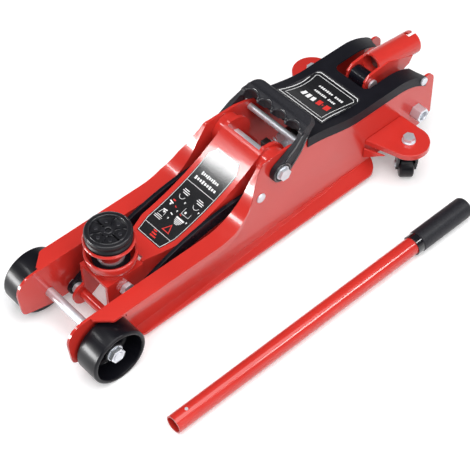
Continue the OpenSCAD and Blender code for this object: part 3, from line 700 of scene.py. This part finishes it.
def saddle_pad_rings():
    """Raised rings by the pad's outer edge, round its recess and at its middle."""
    lo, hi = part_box("saddle_pad")
    middle = (Vector(((lo.x + hi.x) / 2, (lo.y + hi.y) / 2, 0)) - ORIGIN) * 1000
    outer = (hi.x - lo.x) * 500
    skin = Skin("saddle_pad")
    rings = []
    for r in (outer - 1.6, outer - 6.4, 4.6):
        ring = [skin.under(middle.x + r * c, middle.y + r * s) for c, s in unit_circle(72)]
        rings.append((ring, True))
    beads("saddle_pad_rings", rings, 0.7, BODY_OF["saddle_pad"])


arm_label_print()
cover_label_print()
carry_handle_ribs()
carry_handle_scallops()
saddle_pad_relief()
saddle_pad_rings()

# ---------------------------------------------------------------- the studio

FLOOR_HALF_SIDE = 6
# The sky's height that the colour ramp starts from; the horizon is 0 and overhead is 1
SKY_FROM = -0.1
SKY_ENDS = ((0.0, (0.85, 0.85, 0.85)), (0.5, (0.10, 0.10, 0.11)))
SKY_BETWEEN = ((0.09, grey(1.0)), (0.26, grey(0.7)))

# Sizes in metres and power in watts; a gloss_only box makes highlights and lights nothing
Softbox = namedtuple("Softbox", "name place aim width height power gloss_only")
SOFTBOXES = (
    Softbox("top_softbox", (0.25, 0.5, 1.9), (-0.1, 0.2, 0), 2.2, 2.2, 54, False),
    Softbox("front_softbox", (0.905, -1.035, 1.57), (-0.25, 0, 0.15), 0.32, 0.15, 4.2, False),
    Softbox("low_softbox", (2.0, -1.15, 0.25), (0, 0, 0.05), 1.1, 0.6, 85, True),
    Softbox("strip_softbox", (-1.0, 1.25, 1.7), (-0.2, 0.2, 0), 0.6, 0.4, 14, True),
    Softbox("left_softbox", (0.2, 1.9, 0.9), (0, 0, 0.05), 1.2, 0.8, 12, False),
)

# Degrees, and millimetres from the jack's own origin
CAMERA_YAW, CAMERA_PITCH, CAMERA_ROLL = -131.215, 49.258, 1.084
CAMERA_AT = (578.65, 951.69, 1448.18)
CAMERA_SENSOR, CAMERA_LENS, CAMERA_SEES_TO = 36, 116.1, 20


def studio_floor():
    """A pale floor that sends no diffuse light back, so that undersides stay dark."""
    bm = bmesh.new()
    bmesh.ops.create_grid(bm, x_segments=1, y_segments=1, size=FLOOR_HALF_SIDE)
    mesh = mesh_of(bm, "studio_floor")
    obj = bpy.data.objects.new("studio_floor", mesh)
    bpy.context.scene.collection.objects.link(obj)
    paint = material(
        "studio_floor",
        Tone(Noise(3), grey(0.86), grey(0.88)),
        Roughness=0.9, Specular_IOR_Level=0.0,
        Emission_Color=(1, 1, 1, 1), Emission_Strength=0.22,
    )
    mesh.materials.append(paint)
    obj.visible_diffuse = False


def softbox(box):
    """A rectangular light that the camera doesn't see."""
    light = bpy.data.lights.new(box.name, "AREA")
    light.energy = box.power
    light.shape = "RECTANGLE"
    light.size, light.size_y = box.width, box.height
    obj = bpy.data.objects.new(box.name, light)
    obj.location = box.place
    way = Vector(box.aim) - Vector(box.place)
    obj.rotation_euler = way.to_track_quat("-Z", "Y").to_euler()
    obj.visible_diffuse = not box.gloss_only
    obj.visible_camera = False
    bpy.context.scene.collection.objects.link(obj)


def studio_sky():
    """White at the horizon, and a dim ceiling."""
    world = bpy.data.worlds.new("studio")
    world.use_nodes = True
    tree = world.node_tree
    back = tree.nodes["Background"]
    back.inputs[1].default_value = 1.0
    coords = tree.nodes.new("ShaderNodeTexCoord")
    split = tree.nodes.new("ShaderNodeSeparateXYZ")
    ramp = tree.nodes.new("ShaderNodeValToRGB")
    tree.links.new(coords.outputs["Generated"], split.inputs[0])
    height = tree.nodes.new("ShaderNodeMapRange")
    height.inputs["From Min"].default_value = SKY_FROM
    tree.links.new(split.outputs["Z"], height.inputs["Value"])
    tree.links.new(height.outputs[0], ramp.inputs["Fac"])
    tree.links.new(ramp.outputs[0], back.inputs[0])
    els = ramp.color_ramp.elements
    for el, (position, colour) in zip(els, SKY_ENDS):
        el.position, el.color = position, (*colour, 1)
    for position, colour in SKY_BETWEEN:
        els.new(position).color = (*colour, 1)
    bpy.context.scene.world = world


def camera():
    """The camera at the photograph's viewing angle."""
    yaw, pitch, roll = (math.radians(a) for a in (CAMERA_YAW, CAMERA_PITCH, CAMERA_ROLL))
    level = math.cos(pitch)
    forward = Vector((math.cos(yaw) * level, math.sin(yaw) * level, -math.sin(pitch)))
    right = Vector((math.sin(yaw), -math.cos(yaw), 0))
    down = forward.cross(right)
    across = math.cos(roll) * right + math.sin(roll) * down
    below = math.cos(roll) * down - math.sin(roll) * right
    data = bpy.data.cameras.new("camera")
    data.sensor_width = CAMERA_SENSOR
    data.lens = CAMERA_LENS
    data.clip_end = CAMERA_SEES_TO
    obj = bpy.data.objects.new("camera", data)
    turn = Matrix((across, -below, -forward)).transposed()
    obj.matrix_world = Matrix.Translation(at(*CAMERA_AT)) @ turn.to_4x4()
    bpy.context.scene.collection.objects.link(obj)
    bpy.context.scene.camera = obj


studio_floor()
studio_sky()
for box in SOFTBOXES:
    softbox(box)
bpy.context.scene.view_settings.view_transform = "Standard"
camera()
